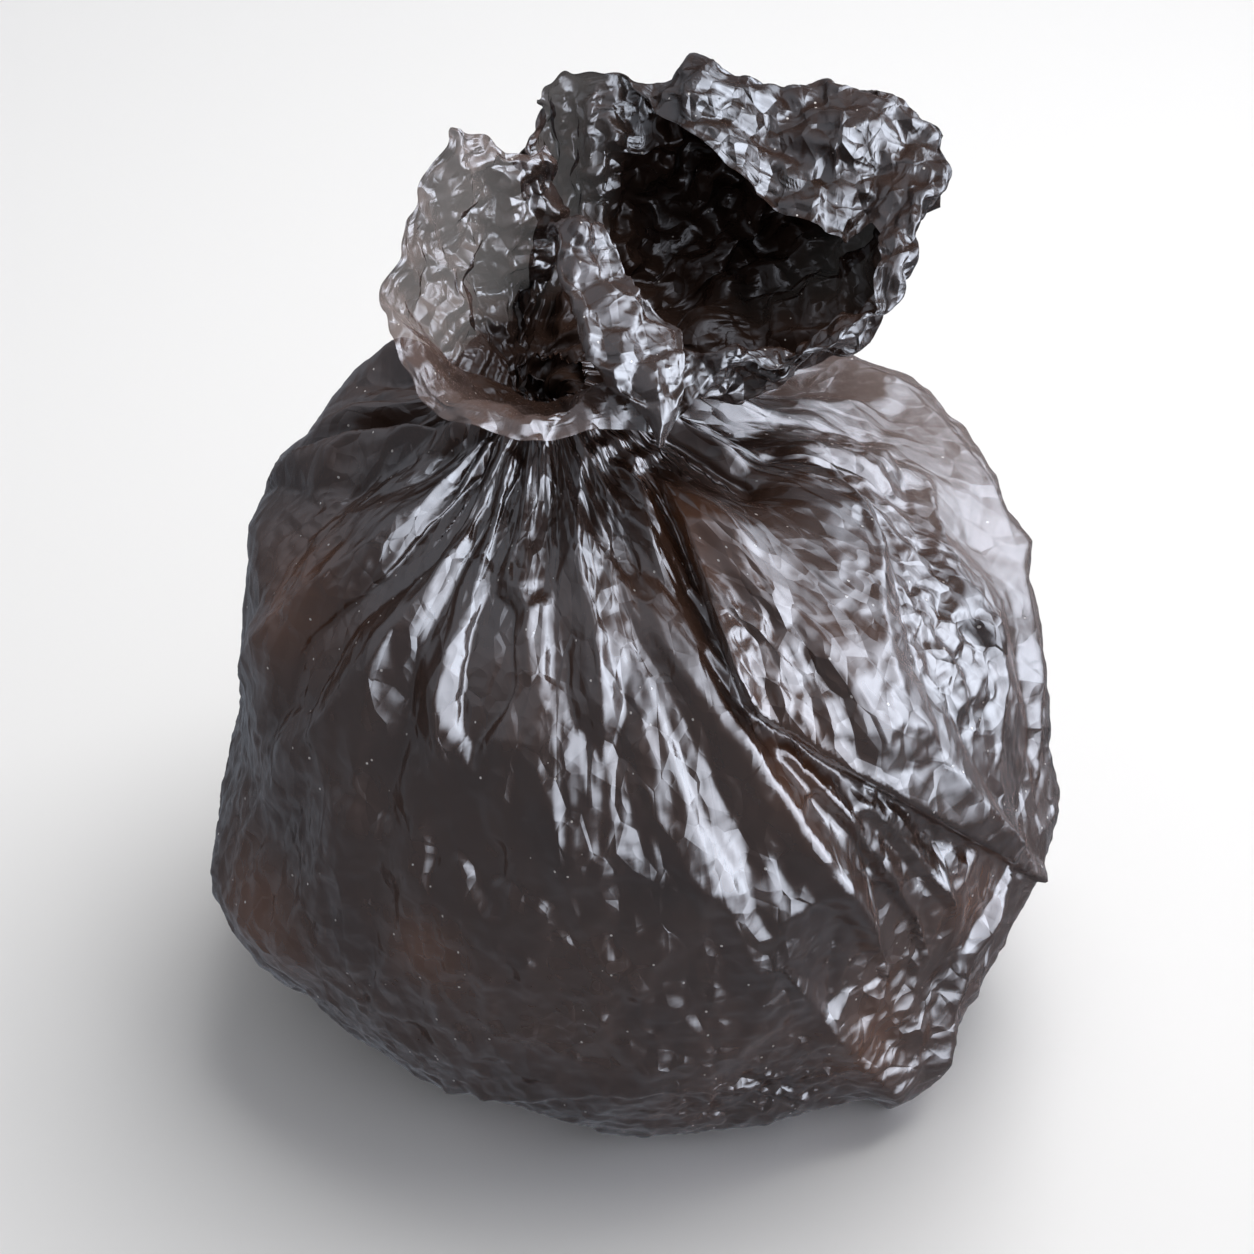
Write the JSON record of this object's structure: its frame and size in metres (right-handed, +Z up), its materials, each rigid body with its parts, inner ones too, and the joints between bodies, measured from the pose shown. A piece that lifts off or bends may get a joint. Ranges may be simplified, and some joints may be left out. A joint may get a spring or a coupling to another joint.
{
  "type": "full bin bag",
  "caption": "Full black film bin bag, tied with a knot in its own film and standing on its base, with the open mouth flaring above the knot.",
  "frame": {"origin": "on the floor, at the middle of the bag's bounding box", "axes": "+Z up, -Y towards the side of the bag that shows the knot under the mouth's low front rim, +X to the right of that side"},
  "size_m": [0.3885, 0.3378, 0.4516],
  "materials": {
    "film": "thin glossy black polythene film with a brown cast, crinkled"
  },
  "bodies": {
    "root": {"bin_bag": "film"}
  },
  "joints": []
}
